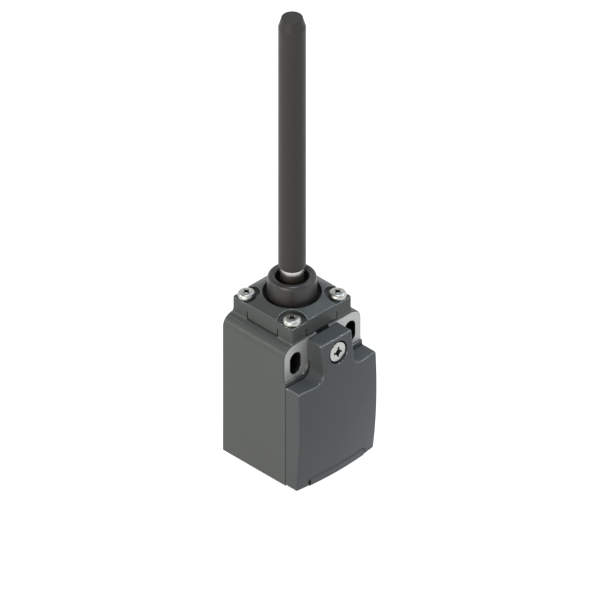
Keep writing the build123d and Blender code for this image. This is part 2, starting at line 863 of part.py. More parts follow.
# Contact block: moulded body with a pocket for the carriage and slots for the contacts
with BuildPart() as contact_block:
    with BuildSketch(facing_front(-cavity_back)):
        with Locations((0, (block_low + block_high) / 2)):
            RectangleRounded(2 * block_half, block_high - block_low, cavity_corner / 2)
    extrude(amount=cavity_back + block_front)
    with BuildSketch(facing_front(-pocket_back)):
        with Locations((0, (block_pocket_low + block_pocket_high) / 2)):
            Rectangle(2 * pocket_half, block_pocket_high - block_pocket_low)
    extrude(amount=pocket_back + block_front, mode=Mode.SUBTRACT)
    with BuildSketch(Plane.XY.offset(block_pocket_high)):
        Circle(carriage_stub + stub_clearance)
    extrude(amount=block_wall, mode=Mode.SUBTRACT)
    for level in (level_nc, level_no):
        for side in (-1, 1):
            with BuildSketch(Plane.XY.offset(level - contact_thick / 2 - contact_slot_gap)):
                slot_end = contact_bend + contact_slot_gap
                Polygon(
                    (side * pocket_half, -block_front),
                    (side * slot_end, -block_front),
                    (side * slot_end, contact_back + contact_slot_gap),
                    (side * pocket_half, contact_back + contact_slot_gap),
                    align=None,
                )
            extrude(amount=contact_thick + 2 * contact_slot_gap, mode=Mode.SUBTRACT)
        with BuildSketch(facing_front(block_front)):
            with Locations(*[(side * terminal_at, level) for side in (-1, 1)]):
                Circle(terminal_screw_radius + thread_fit)
        extrude(amount=-terminal_screw_depth, mode=Mode.SUBTRACT)
    with BuildSketch(facing_front(block_front)):
        with Locations(*[(side * terminal_at, block_screw_height) for side in (-1, 1)]):
            Circle(block_screw_radius + thread_fit)
    extrude(amount=-(block_front + cavity_back), mode=Mode.SUBTRACT)
save(contact_block, "contact_block")

with BuildPart() as contact_block_plate:
    with BuildSketch(facing_front(block_front - plate_thick)):
        with Locations((0, (block_pocket_low + block_pocket_high) / 2)):
            Rectangle(
                2 * (pocket_half - plate_gap), block_pocket_high - block_pocket_low - 2 * plate_gap
            )
    extrude(amount=plate_thick)
save(contact_block_plate, "contact_block_plate")

# Fixed contacts: a terminal plate in front and a tongue that reaches in beside the carriage
with BuildPart() as fixed_contacts:
    for level in (level_nc, level_no):
        for side in (-1, 1):
            with BuildSketch(Plane.XY.offset(level - contact_thick / 2)):
                tip = -contact_tip_front
                Polygon(
                    (side * contact_inner, tip),
                    (side * (pocket_half + contact_slot_gap), tip),
                    (side * (pocket_half + contact_slot_gap), -block_front - terminal_thick),
                    (side * contact_bend, -block_front - terminal_thick),
                    (side * contact_bend, contact_back),
                    (side * contact_inner, contact_back),
                    align=None,
                )
            extrude(amount=contact_thick)
            with BuildSketch(facing_front(block_front)):
                plate_inner = pocket_half + contact_slot_gap
                with Locations((side * (plate_inner + contact_outer) / 2, level)):
                    Rectangle(contact_outer - plate_inner, terminal_height)
            extrude(amount=terminal_thick)
            with BuildSketch(facing_front(block_front - terminal_screw_depth)):
                with Locations((side * terminal_at, level)):
                    Circle(terminal_screw_radius + thread_fit)
            extrude(amount=terminal_screw_depth + terminal_thick, mode=Mode.SUBTRACT)
save(fixed_contacts, "fixed_contacts")

with BuildPart() as terminal_clamps:
    with BuildSketch(facing_front(block_front + terminal_thick)):
        with Locations(*terminal_places):
            RectangleRounded(clamp_side, clamp_side, clamp_thick)
            Circle(terminal_screw_radius + thread_fit, mode=Mode.SUBTRACT)
    extrude(amount=clamp_thick)
save(terminal_clamps, "terminal_clamps")

with BuildPart() as terminal_screws:
    clamp_front = block_front + terminal_thick + clamp_thick
    with BuildSketch(facing_front(clamp_front)):
        with Locations(*terminal_places):
            Circle(terminal_screw_head)
    extrude(amount=terminal_screw_head_height)
    with BuildSketch(facing_front(block_front - terminal_screw_depth)):
        with Locations(*terminal_places):
            Circle(terminal_screw_radius)
    extrude(amount=clamp_front - block_front + terminal_screw_depth)
save(terminal_screws, "terminal_screws")

with BuildPart() as block_screws:
    block_screw_places = [(side * terminal_at, block_screw_height) for side in (-1, 1)]
    with BuildSketch(facing_front(block_front)):
        with Locations(*block_screw_places):
            Circle(block_screw_head)
    extrude(amount=block_screw_head_height)
    with BuildSketch(facing_front(block_front)):
        with Locations(*block_screw_places):
            Circle(block_screw_radius)
    extrude(amount=-(block_front + cavity_back + block_screw_bite))
save(block_screws, "block_screws")

# Carriage: square slide with a round stub on top and a window for each bridge
with BuildPart() as contact_carriage:
    with BuildSketch(Plane.XY.offset(carriage_bottom)):
        Rectangle(2 * carriage_half, 2 * carriage_depth)
    extrude(amount=carriage_top - carriage_bottom)
    with BuildSketch(Plane.XY.offset(carriage_top)):
        Circle(carriage_stub)
    extrude(amount=stub_top - carriage_top)
    for window_low in (nc_window_low, no_bridge_low - touch_gap):
        with BuildSketch(Plane.YZ.offset(-carriage_half)):
            with Locations((0, window_low + bridge_slot_height / 2)):
                Rectangle(bridge_slot_width, bridge_slot_height)
        extrude(amount=2 * carriage_half, mode=Mode.SUBTRACT)
save(contact_carriage, "contact_carriage")

with BuildPart() as bridge_contacts:
    for bridge_low in (nc_bridge_low, no_bridge_low):
        with BuildSketch(Plane.XY.offset(bridge_low)):
            Rectangle(2 * bridge_half, bridge_width)
        extrude(amount=bridge_thick)
save(bridge_contacts, "bridge_contacts")

# Small springs that press each bridge to its end of the window
with BuildPart() as contact_springs:
    spring(
        contact_spring_radius,
        contact_spring_wire,
        nc_window_low + spring_gap,
        nc_bridge_low - spring_gap,
        contact_spring_turns,
    )
    spring(
        contact_spring_radius,
        contact_spring_wire,
        no_bridge_low + bridge_thick + spring_gap,
        no_bridge_low - touch_gap + bridge_slot_height - spring_gap,
        contact_spring_turns,
    )
save(contact_springs, "contact_springs")

with BuildPart() as carriage_spring:
    spring(
        carriage_spring_radius,
        carriage_spring_wire,
        block_pocket_low + spring_gap,
        carriage_bottom - spring_gap,
        carriage_spring_turns,
    )
save(carriage_spring, "carriage_spring")

# Earth terminal
with BuildPart() as earth_clamp:
    with BuildSketch(facing_front(earth_boss_front)):
        with Locations((earth_out, earth_height)):
            RectangleRounded(earth_clamp_side, earth_clamp_side, earth_clamp_thick)
            Circle(earth_screw_radius + thread_fit, mode=Mode.SUBTRACT)
    extrude(amount=earth_clamp_thick)
save(earth_clamp, "earth_clamp")

with BuildPart() as earth_screw:
    with BuildSketch(facing_front(earth_boss_front + earth_clamp_thick)):
        with Locations((earth_out, earth_height)):
            Circle(earth_screw_head)
    extrude(amount=earth_screw_head_height)
    with BuildSketch(facing_front(earth_boss_front + earth_clamp_thick)):
        with Locations((earth_out, earth_height)):
            Circle(earth_screw_radius)
    extrude(amount=-(earth_clamp_thick + earth_screw_depth))
save(earth_screw, "earth_screw")
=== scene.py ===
# %% [markdown]
# A small die-cast limit switch with a long plastic rod, dressed for its catalogue picture.
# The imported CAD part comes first, because its size and its moving bodies are fixed. Each later
# step gives one of its surfaces the finish that it has on the real switch, or swaps a plain
# solid for a finer mesh that moves in the same way. Lengths are written in millimetres, and
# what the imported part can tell, such as where a screw sits, is read from it.

import json
import math

import bmesh
import bpy
from mathutils import Matrix, Vector


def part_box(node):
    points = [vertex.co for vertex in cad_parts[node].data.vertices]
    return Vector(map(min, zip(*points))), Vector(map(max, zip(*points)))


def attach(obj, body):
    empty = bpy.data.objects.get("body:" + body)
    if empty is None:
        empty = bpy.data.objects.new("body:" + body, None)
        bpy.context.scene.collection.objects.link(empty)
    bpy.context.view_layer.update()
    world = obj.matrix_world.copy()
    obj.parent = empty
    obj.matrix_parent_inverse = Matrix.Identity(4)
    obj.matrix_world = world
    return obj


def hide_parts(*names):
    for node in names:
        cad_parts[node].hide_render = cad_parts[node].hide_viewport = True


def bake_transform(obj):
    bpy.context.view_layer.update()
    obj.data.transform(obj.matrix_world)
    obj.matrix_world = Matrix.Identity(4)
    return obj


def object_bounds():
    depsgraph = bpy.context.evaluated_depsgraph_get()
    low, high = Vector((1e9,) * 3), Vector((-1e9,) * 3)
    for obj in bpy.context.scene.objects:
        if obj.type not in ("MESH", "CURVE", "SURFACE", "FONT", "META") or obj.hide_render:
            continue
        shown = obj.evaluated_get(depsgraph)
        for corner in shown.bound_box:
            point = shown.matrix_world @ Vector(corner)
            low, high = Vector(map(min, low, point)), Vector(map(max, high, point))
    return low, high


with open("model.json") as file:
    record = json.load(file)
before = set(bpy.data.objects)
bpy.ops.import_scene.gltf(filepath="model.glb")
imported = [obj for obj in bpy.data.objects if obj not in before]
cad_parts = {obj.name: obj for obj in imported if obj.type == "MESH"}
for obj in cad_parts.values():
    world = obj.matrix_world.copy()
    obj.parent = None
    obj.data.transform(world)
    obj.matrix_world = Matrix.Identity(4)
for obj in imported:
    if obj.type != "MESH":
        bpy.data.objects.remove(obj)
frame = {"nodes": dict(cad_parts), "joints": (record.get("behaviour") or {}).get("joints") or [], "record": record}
cad_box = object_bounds()
MM = 0.001


def in_mm(corners):
    """Corners of a box in millimetres, to a hundredth, from corners in metres."""
    return [[round(v / MM, 2) for v in corner] for corner in corners]


def put(name, data):
    """An object with this data, in the scene."""
    made = bpy.data.objects.new(name, data)
    bpy.context.scene.collection.objects.link(made)
    return made


print("CAD box in mm:", in_mm(cad_box))

# %% [markdown]
# The picture is a true isometric drawing view: the camera is orthographic and looks down at
# 35.26 degrees on the corner between the left side and the front. A perspective lens would make
# the rod taper, and here its two edges run parallel, so the orthographic camera is the right one.
# Its scale follows from two known sizes, the 8 mm rod and the slots on 22 mm centres.

# %% Camera
PICTURE_PIXELS = 600
PIXELS_PER_MM = 3.505
TARGET_RIGHT, TARGET_UP = 2.254, 41.37
CAMERA_DISTANCE = 600

right_way = Vector((1, -1, 0)).normalized()
up_way = Vector((1, 1, 2)).normalized()
back_way = Vector((-1, -1, 1)).normalized()
target = (TARGET_RIGHT * right_way + TARGET_UP * up_way) * MM

camera_data = bpy.data.cameras.new("isometric_camera")
camera_data.type = "ORTHO"
camera_data.ortho_scale = PICTURE_PIXELS / PIXELS_PER_MM * MM
camera = put("isometric_camera", camera_data)
camera.location = target + back_way * CAMERA_DISTANCE * MM
camera.rotation_mode = "QUATERNION"
camera.rotation_quaternion = (-back_way).to_track_quat("-Z", "Y")
bpy.context.scene.camera = camera
print("camera sees", round(camera_data.ortho_scale / MM, 1), "mm across")

# %% [markdown]
# A material is a graph of nodes. One function adds any node with its settings and links, one
# turns the colours, which are written as sRGB hex values, into the linear numbers that Cycles
# works with, and one starts a material and hands back its shader. A pattern's scale counts its
# crests along a metre, so it is worked out from the real size of a crest.

# %% Helpers for node graphs
# The Mix node's two colours are its inputs 6 and 7
FIRST, SECOND = 6, 7
# Octaves of the noise in fine grains, one more than Blender's own 2
FINE_DETAIL = 3.0


def srgb(text):
    """Linear colour of an sRGB hex value such as 5c5f5c."""
    values = [int(text[i : i + 2], 16) / 255 for i in (0, 2, 4)]
    return [v / 12.92 if v <= 0.04045 else ((v + 0.055) / 1.055) ** 2.4 for v in values] + [1.0]


def fill(tree, node, inputs):
    """Fill a node's inputs with numbers, colours, sockets, or nodes, by their live output."""
    for name, value in inputs.items():
        if isinstance(value, bpy.types.Node):
            value = next(socket for socket in value.outputs if socket.enabled)
        if isinstance(value, bpy.types.NodeSocket):
            tree.links.new(value, node.inputs[name])
        else:
            node.inputs[name].default_value = value


def add(tree, kind, inputs=None, **settings):
    """Add a node of any kind, set it, and fill its inputs."""
    node = tree.nodes.new(kind)
    for name, value in settings.items():
        setattr(node, name, value)
    fill(tree, node, inputs or {})
    return node


def chain(tree, operation, *parts):
    """Join several masks or numbers, one after another, with one operation."""
    joined = parts[0]
    for part in parts[1:]:
        joined = add(tree, "ShaderNodeMath", {0: joined, 1: part}, operation=operation)
    return joined


def new_finish(name, **sockets):
    """Start a material and set the constants on its shader's own sockets."""
    material = bpy.data.materials.new(name)
    material.use_nodes = True
    shader = material.node_tree.nodes["Principled BSDF"]
    for socket, value in sockets.items():
        shader.inputs[socket.replace("_", " ")].default_value = value
    return material, material.node_tree, shader


def crests(size):
    """The scale of a pattern whose crests are this many millimetres apart."""
    return 1 / (size * MM)


print("helpers ready, for example srgb('808080') =", [round(v, 3) for v in srgb("808080")])

# %% [markdown]
# The studio is plain: a white surround with a dim ceiling, and soft lamps that stand so far away
# that their light is even. The warm one on the left is the strongest, so the left side of the
# case is the lightest. Two cool ones light what looks up, one from above and one from the right.
# The two small lamps have one job each. A rounded edge mirrors them to the camera as a fine
# bright line, the first where a top meets a front, the second where a top meets a left side.
# Floor and surround look white to the camera and in reflections, while the light that reaches
# the object stays at a level where a colour renders about as it is written.

# %% Lamps and surround
SURROUND_LIGHT = 0.33
CEILING_LIGHT = 0.3
CEILING_LOW, CEILING_HIGH = 0.5, 0.9


def seen_directly(tree):
    """1 for rays from the camera, from a mirror-like surface or through a clear one, else 0."""
    rays = add(tree, "ShaderNodeLightPath").outputs
    kinds = [rays[f"Is {kind} Ray"] for kind in ("Camera", "Glossy", "Transmission")]
    return chain(tree, "MAXIMUM", *kinds)


def lamp(name, direction, strength, colour, spread):
    """A soft lamp far away in this direction, with an even light and a spread in degrees."""
    data = bpy.data.lights.new(name, "SUN")
    data.energy = strength * math.pi
    data.color = srgb(colour)[:3]
    data.angle = math.radians(spread)
    made = put(name, data)
    made.rotation_mode = "QUATERNION"
    made.rotation_quaternion = Vector(direction).to_track_quat("Z", "Y")


lamp("left_softbox", (-0.944, -0.21, 0.255), 0.5, "fff8ee", 32)
lamp("slope_softbox", (0.577, -0.1, 0.81), 0.18, "dcebff", 28)
lamp("edge_lamp", (0.577, -0.577, 0.577), 0.15, "f4f8ff", 7)
lamp("back_edge_lamp", (-0.75, 0.577, 0.32), 0.13, "fffaf2", 9)
lamp("overhead_softbox", (-0.05, -0.14, 0.99), 0.32, "e2edff", 12)

world = bpy.data.worlds.new("white_surround")
world.use_nodes = True
bpy.context.scene.world = world
tree = world.node_tree
direction = add(tree, "ShaderNodeTexCoord").outputs["Generated"]
height = add(tree, "ShaderNodeSeparateXYZ", {0: direction}).outputs["Z"]
span = {"Value": height, "From Min": CEILING_LOW, "From Max": CEILING_HIGH}
ceiling = add(tree, "ShaderNodeMapRange", {**span, "To Min": 1.0, "To Max": CEILING_LIGHT})
span = {"Value": seen_directly(tree), "To Min": SURROUND_LIGHT, "To Max": 1.0}
level = add(tree, "ShaderNodeMapRange", span)
strength = chain(tree, "MULTIPLY", level, ceiling)
fill(tree, tree.nodes["Background"], {"Color": srgb("ffffff"), "Strength": strength})
bpy.context.scene.view_settings.view_transform = "Standard"
print("lamps:", len(bpy.data.lights))

# %% [markdown]
# The floor is a white card. It lies a little below the case, because the open cover swings past
# level and reaches below the case's foot, where a floor would cut it. The card is pale rather
# than white and glows only for the rays that look at it, so it keeps the object's shadow and
# the glow lights nothing.

# %% Floor
FLOOR_SIZE = 4000
FLOOR_DROP = 12
FLOOR_GLOW = 0.85

half = FLOOR_SIZE / 2 * MM
level = cad_box[0].z - FLOOR_DROP * MM
corners = [(-half, -half, level), (half, -half, level), (half, half, level), (-half, half, level)]
floor_mesh = bpy.data.meshes.new("floor")
floor_mesh.from_pydata(corners, [], [(0, 1, 2, 3)])
put("floor", floor_mesh)

card = {"Base_Color": srgb("c8c8c8"), "Roughness": 0.9, "Specular_IOR_Level": 0.0}
floor_finish, tree, shader = new_finish("white_card", **card)
span = {"Value": seen_directly(tree), "To Min": 0.0, "To Max": FLOOR_GLOW}
glow_strength = add(tree, "ShaderNodeMapRange", span)
glow = add(tree, "ShaderNodeEmission", {"Color": srgb("ffffff"), "Strength": glow_strength})
lit_floor = add(tree, "ShaderNodeAddShader", {0: shader, 1: glow})
fill(tree, tree.nodes["Material Output"], {"Surface": lit_floor})
floor_mesh.materials.append(floor_finish)
print("floor lies", FLOOR_DROP, "mm below the case")

# %% [markdown]
# Some finishes change from place to place on one piece: bare pads, dark slots, a filled seam.
# Each such place is a box in the part's own coordinates, so it stays put when the part moves.
# Separate materials on the faces would be simpler, but the CAD mesh has no face that ends where
# these places do.

# %% Masks from boxes
# Further than any point of the part
FAR = 200


def around(middle, half):
    """A stretch from its middle and half its length."""
    return middle - half, middle + half


def in_boxes(tree, place, *boxes):
    """1 in any of the boxes, else 0. |X| and |Y| count both ways from the middle."""
    axes = add(tree, "ShaderNodeSeparateXYZ", {0: place}).outputs
    ways = {way: axes[way] for way in "XYZ"}
    for way in "XY":
        ways[f"|{way}|"] = add(tree, "ShaderNodeMath", {0: axes[way]}, operation="ABSOLUTE")
    masks = []
    for box in boxes:
        near = []
        for way, (low, high) in box.items():
            stretch = {0: ways[way], 1: (low + high) / 2 * MM, 2: (high - low) / 2 * MM}
            near.append(add(tree, "ShaderNodeMath", stretch, operation="COMPARE"))
        masks.append(chain(tree, "MULTIPLY", *near))
    return chain(tree, "MAXIMUM", *masks)


case_low, case_high = in_mm(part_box("housing"))
print("the case reaches from", case_low, "to", case_high)

# %% [markdown]
# The shape itself says where a finish wears, where a highlight is painted and where shade is
# painted dark. Close to an outer edge, rays sent into the metal soon meet the next face, and in a
# narrow hollow, rays sent outwards do. The Ambient Occlusion node measures both, on sharp edges as
# well as on rounded ones. In the picture only edges that look up glint, so the surface's direction
# is asked too, in the part's own coordinates, which turn with it.

# %% Edges and hollows from the shape
RAYS = 16
UP_LOW, UP_HIGH = 0.1, 0.5


def openness(tree, reach, start, end, inside):
    """From 0 to 1 as the space within reach opens from start to end, outside or inside."""
    reached = {"Distance": reach * MM}
    look = add(tree, "ShaderNodeAmbientOcclusion", reached, samples=RAYS, inside=inside)
    span = {"Value": look.outputs["AO"], "From Min": start, "From Max": end}
    return add(tree, "ShaderNodeMapRange", span)


def faces_up(tree, normal):
    """0 on upright faces and 1 where the rounded surface of the object turns upwards."""
    ways = {"vector_type": "NORMAL", "convert_from": "WORLD", "convert_to": "OBJECT"}
    own_normal = add(tree, "ShaderNodeVectorTransform", {0: normal}, **ways)
    upright = add(tree, "ShaderNodeSeparateXYZ", {0: own_normal}).outputs["Z"]
    span = {"Value": upright, "From Min": UP_LOW, "From Max": UP_HIGH}
    return add(tree, "ShaderNodeMapRange", span)


print("rays for each test of the shape:", RAYS)

# %% [markdown]
# Between the head's tongues and the case's posts, along the cover's rear edge and at the ends of
# the bar over the hinge pin there are gaps of a few tenths of a millimetre. In the solids they
# are only as wide as the pieces' clearance, so each is drawn as wide as it shows in the picture.

# %% The dark gaps
JOINT_AT, JOINT_HALF, JOINT_FOOT = 6.1, 0.17, 46.8
PARTING_AT, PARTING_HALF, PARTING_DEPTH, PARTING_TOP = -13.0, 0.16, 0.15, 38.6
SLIT_AT, SLIT_HALF, SLIT_TOP = 11.1, 0.33, 2.25

hinge = next(joint for joint in frame["joints"] if joint["name"] == "cover_hinge")
hinge_at = in_mm([hinge["pos_m"]])[0]
beside_posts = {"Z": (JOINT_FOOT, case_high[2])}
DARK_GAPS = [
    {"|X|": around(JOINT_AT, JOINT_HALF), **beside_posts},
    {"|Y|": around(JOINT_AT, JOINT_HALF), **beside_posts},
    {
        "|X|": (case_high[0] - PARTING_DEPTH, FAR),
        "Y": around(PARTING_AT, PARTING_HALF),
        "Z": (-FAR, PARTING_TOP),
    },
    {"|X|": around(SLIT_AT, SLIT_HALF), "Y": (-FAR, hinge_at[1]), "Z": (-SLIT_TOP, SLIT_TOP)},
]
print("kinds of gap:", len(DARK_GAPS))

# %% [markdown]
# The case, the head and the cover are zinc castings under grey powder coat. Powder coat flows out
# to a skin with a faint orange peel, about half a millimetre from crest to crest, and a satin
# gloss. It rounds every edge a little, which a Bevel node shows without touching the CAD mesh. It
# also draws back from an outer edge as it cures, so the coat is thinner and smoother there, and the
# metal glints through. On edges that look up the colour is lightened as well, as a painted
# highlight, and narrow hollows are painted near black, as painted shade. The seam between case and
# head is left out of both, because paint has filled it.

# %% Powder coat
EDGE_ROUND, EDGE_RAYS = 0.3, 6
EDGE_HIGHLIGHT_COLOUR, EDGE_HIGHLIGHT_TINT, EDGE_METAL, EDGE_POLISH = "b4b8b6", 0.25, 0.85, 0.12
# Reach in millimetres, then the openness where the thinner coat and painted highlight begin and where the coat is
# full
SHARP_EDGE = (0.35, 0.93, 0.66)
FILLET_EDGE = (0.75, 0.93, 0.82)
# Reach in millimetres, then the openness where the painted shade ends and where full light begins
HOLLOW = (1.1, 0.16, 0.46)
HOLLOW_PAINTED_SHADE = "131413"
SEAM_HEIGHT, SEAM_REACH = 49.615, 0.4
SKIRT_TOP = 4.0
POST_FOOT = 47.4
DRIFT_SIZE, GLOSS_SIZE, PEEL_SIZE, PEEL_DEPTH = 14, 3.5, 0.6, 0.012
COAT_ROUGH, COAT_SHINE = (0.32, 0.4), 0.24


def powder_coat(name, dark, light, worn_and_highlit=SHARP_EDGE, upper=None):
    """Satin powder coat of two near shades, with orange peel, thinner edges, painted highlights and painted shade.
    """
    material, tree, shader = new_finish(name, IOR=1.5, Specular_IOR_Level=COAT_SHINE)
    place = add(tree, "ShaderNodeTexCoord").outputs["Object"]
    drift, gloss, peel = [
        add(tree, "ShaderNodeTexNoise", {"Vector": place, "Scale": crests(size)})
        for size in (DRIFT_SIZE, GLOSS_SIZE, PEEL_SIZE)
    ]
    pair = {0: drift, FIRST: srgb(dark), SECOND: srgb(light)}
    colour = add(tree, "ShaderNodeMix", pair, data_type="RGBA")
    # The case's posts above POST_FOOT take the head's darker tones, as painted shade
    if upper:
        pair = {0: drift, FIRST: srgb(upper[0]), SECOND: srgb(upper[1])}
        post_painted_shade = add(tree, "ShaderNodeMix", pair, data_type="RGBA")
        is_post = in_boxes(tree, place, {"Z": (POST_FOOT, FAR)})
        pair = {0: is_post, FIRST: colour, SECOND: post_painted_shade}
        colour = add(tree, "ShaderNodeMix", pair, data_type="RGBA")

    seam = in_boxes(tree, place, {"Z": around(SEAM_HEIGHT, SEAM_REACH)})
    off_seam = chain(tree, "SUBTRACT", 1.0, seam)
    radius = chain(tree, "MULTIPLY", off_seam, EDGE_ROUND * MM)
    normal = add(tree, "ShaderNodeBevel", {"Radius": radius}, samples=EDGE_RAYS)
    near_edge = openness(tree, *worn_and_highlit, True)
    off_skirt = in_boxes(tree, place, {"Z": (SKIRT_TOP, FAR)})
    thin_and_highlit = chain(tree, "MULTIPLY", near_edge, off_seam, faces_up(tree, normal), off_skirt)

    # The lighter edge colour is a painted highlight on edges that look up, where the coat is also thinner
    tint = chain(tree, "MULTIPLY", thin_and_highlit, EDGE_HIGHLIGHT_TINT)
    pair = {0: tint, FIRST: colour, SECOND: srgb(EDGE_HIGHLIGHT_COLOUR)}
    edge_highlit_colour = add(tree, "ShaderNodeMix", pair, data_type="RGBA")
    # Narrow hollows are painted near black as painted shade, and the dark gaps take the same colour
    off_gaps = chain(tree, "SUBTRACT", 1.0, in_boxes(tree, place, *DARK_GAPS))
    lit = chain(tree, "MULTIPLY", openness(tree, *HOLLOW, False), off_gaps)
    pair = {0: lit, FIRST: srgb(HOLLOW_PAINTED_SHADE), SECOND: edge_highlit_colour}
    shaded = add(tree, "ShaderNodeMix", pair, data_type="RGBA")

    span = {"Value": gloss, "To Min": COAT_ROUGH[0], "To Max": COAT_ROUGH[1]}
    rough = add(tree, "ShaderNodeMapRange", span)
    polish = chain(tree, "MULTIPLY", thin_and_highlit, EDGE_POLISH)
    skin = {"Height": peel, "Distance": PEEL_DEPTH * MM, "Normal": normal}
    looks = {
        "Base Color": shaded,
        "Metallic": chain(tree, "MULTIPLY", thin_and_highlit, EDGE_METAL),
        "Roughness": chain(tree, "SUBTRACT", rough, polish),
        "Normal": add(tree, "ShaderNodeBump", skin),
    }
    fill(tree, shader, looks)
    return material, tree, shader, place


# The head's tones are the case's powder coat painted darker, as painted shade on the head and the case's posts
CASE_SHADES = ("525552", "565956")
HEAD_SHADED_TONES = ("484c49", "4d514e")
COVER_SHADES = ("4c5050", "505454")
head_coat = powder_coat("grey_powder_coat_on_head", *HEAD_SHADED_TONES)[0]
cover_coat = powder_coat("grey_powder_coat_on_cover", *COVER_SHADES, worn_and_highlit=FILLET_EDGE)[0]
case_coat, tree, shader, place = powder_coat(
    "grey_powder_coat_on_zinc", *CASE_SHADES, upper=HEAD_SHADED_TONES
)
print("powder coats:", head_coat.name, cover_coat.name, case_coat.name)

# %% [markdown]
# The walls of the two fixing slots and the small notch behind the cover's tab are painted near
# black, as painted shade, since little light gets into them. Two pads around the slots are masked
# in the paint line or skimmed after it. Skimmed zinc is a pale metal with fine cutter marks, and
# its grain is a noise stretched along X, so it reads as brushing across the pad. The painted and
# the bare finish are two shaders, and the pads' place mixes them.

# %% Dark slots and bare pads on the case
# The pads end just above the ledge under them, so the ledge stays painted
PAD_FRONT, PAD_SKIN, PAD_BOTTOM = -12.3, 0.03, 35.51
PAD_COLOUR, PAD_METALLIC, PAD_ROUGH = "bcbdba", 0.55, (0.38, 0.52)
SLOT_AT, SLOT_HEIGHT = 11.0, 40.3
SLOT_REACH, SLOT_RISE, SLOT_MOUTH = 2.3, 3.75, 0.1
NOTCH_HALF, NOTCH_FOOT, NOTCH_TOP = 2.52, 45.8, 47.2
NOTCH_MIDDLE, NOTCH_DEEP = 0.95, 0.9
SLOT_PAINTED_SHADE = "1d1e1d"
MARK_SIZE, MARK_DEPTH, MARK_STRETCH = 0.35, 0.01, 0.06

slots = {
    "|X|": around(SLOT_AT, SLOT_REACH),
    "Y": (PAD_FRONT + SLOT_MOUTH, FAR),
    "Z": around(SLOT_HEIGHT, SLOT_RISE),
}
notch = {
    "X": (-NOTCH_HALF, NOTCH_HALF),
    "Y": around(PAD_FRONT + NOTCH_MIDDLE, NOTCH_DEEP),
    "Z": (NOTCH_FOOT, NOTCH_TOP),
}
painted = shader.inputs["Base Color"].links[0].from_socket
# The slot walls and the notch are painted near black, as painted shade
pair = {0: in_boxes(tree, place, slots, notch), FIRST: painted, SECOND: srgb(SLOT_PAINTED_SHADE)}
fill(tree, shader, {"Base Color": add(tree, "ShaderNodeMix", pair, data_type="RGBA")})

stretch = {"Vector": place, "Scale": (MARK_STRETCH, 1.0, 1.0)}
grain = add(tree, "ShaderNodeMapping", stretch)
fine = {"Vector": grain, "Scale": crests(MARK_SIZE), "Detail": FINE_DETAIL}
marks = add(tree, "ShaderNodeTexNoise", fine)
span = {"Value": marks, "To Min": PAD_ROUGH[0], "To Max": PAD_ROUGH[1]}
pad_looks = {
    "Base Color": srgb(PAD_COLOUR),
    "Metallic": PAD_METALLIC,
    "Roughness": add(tree, "ShaderNodeMapRange", span),
    "Normal": add(tree, "ShaderNodeBump", {"Height": marks, "Distance": MARK_DEPTH * MM}),
}
pad_metal = add(tree, "ShaderNodeBsdfPrincipled", pad_looks)
pads = {"Y": around(PAD_FRONT, PAD_SKIN), "Z": (PAD_BOTTOM, FAR)}
coats = {0: in_boxes(tree, place, pads), 1: shader, 2: pad_metal}
coat_or_pad = add(tree, "ShaderNodeMixShader", coats)
fill(tree, tree.nodes["Material Output"], {"Surface": coat_or_pad})
print("pads lie at Y", PAD_FRONT, "above", PAD_BOTTOM, "mm")

# %% [markdown]
# Plastics, rubber and plain metals differ mainly in colour, gloss and grain, so one function
# makes them all: two near shades, a roughness range, and a grain of a real size and depth.
# Plastics drift between their shades in larger blotches than their grain, and a metal's mottle
# is its grain. The recesses of the screws are painted darker, as dirt and painted shade, found by
# the same test of the shape as on the powder coat.

# %% One function for plain surfaces
# Reach in millimetres, then the openness where the dirt and painted shade end and where clean metal begins
GRIME_AND_SHADE_REACH = (1.2, 0.42, 0.78)


def surface(name, shades, roughness, grain, depth, blotch=None, edge=None, grime=None, **sockets):
    """A plain surface between two shades, with a roughness range and a grain of this size."""
    material, tree, shader = new_finish(name, **sockets)
    place = add(tree, "ShaderNodeTexCoord").outputs["Object"]
    grains = {"Vector": place, "Scale": crests(grain), "Detail": FINE_DETAIL}
    fine = add(tree, "ShaderNodeTexNoise", grains)
    drift = fine
    if blotch:
        drift = add(tree, "ShaderNodeTexNoise", {"Vector": place, "Scale": crests(blotch)})
    pair = {0: drift, FIRST: srgb(shades[0]), SECOND: srgb(shades[1])}
    colour = add(tree, "ShaderNodeMix", pair, data_type="RGBA")
    # Hollows such as screw recesses are painted darker, as dirt and painted shade
    if grime:
        pair = {0: openness(tree, *GRIME_AND_SHADE_REACH, False), FIRST: srgb(grime), SECOND: colour}
        colour = add(tree, "ShaderNodeMix", pair, data_type="RGBA")
    skin = {"Height": fine, "Distance": depth * MM}
    if edge:
        skin["Normal"] = add(tree, "ShaderNodeBevel", {"Radius": edge * MM}, samples=EDGE_RAYS)
    span = {"Value": fine, "To Min": roughness[0], "To Max": roughness[1]}
    looks = {
        "Base Color": colour,
        "Roughness": add(tree, "ShaderNodeMapRange", span),
        "Normal": add(tree, "ShaderNodeBump", skin),
    }
    fill(tree, shader, looks)
    return material


print("grime reaches", GRIME_AND_SHADE_REACH[0], "mm")

# %% [markdown]
# The rod is moulded nylon, the boot is nitrile rubber, and the parts inside are seals and pale or
# coloured engineering plastics. Each keeps a little of its mould's texture. A noise on the part's
# own coordinates gives that at one size everywhere, with no seams where a surface closes.

# %% Plastics and rubber
PLASTIC = {"IOR": 1.5, "Specular_IOR_Level": 0.32}

# Moulded nylon with a dark dye is satin, and its grain hardly shows
rod_nylon = surface(
    "satin_moulded_nylon",
    ("3d3b37", "42403c"),
    (0.38, 0.5),
    grain=0.5,
    depth=0.006,
    blotch=9,
    edge=0.25,
    IOR=1.5,
    Specular_IOR_Level=0.18,
)

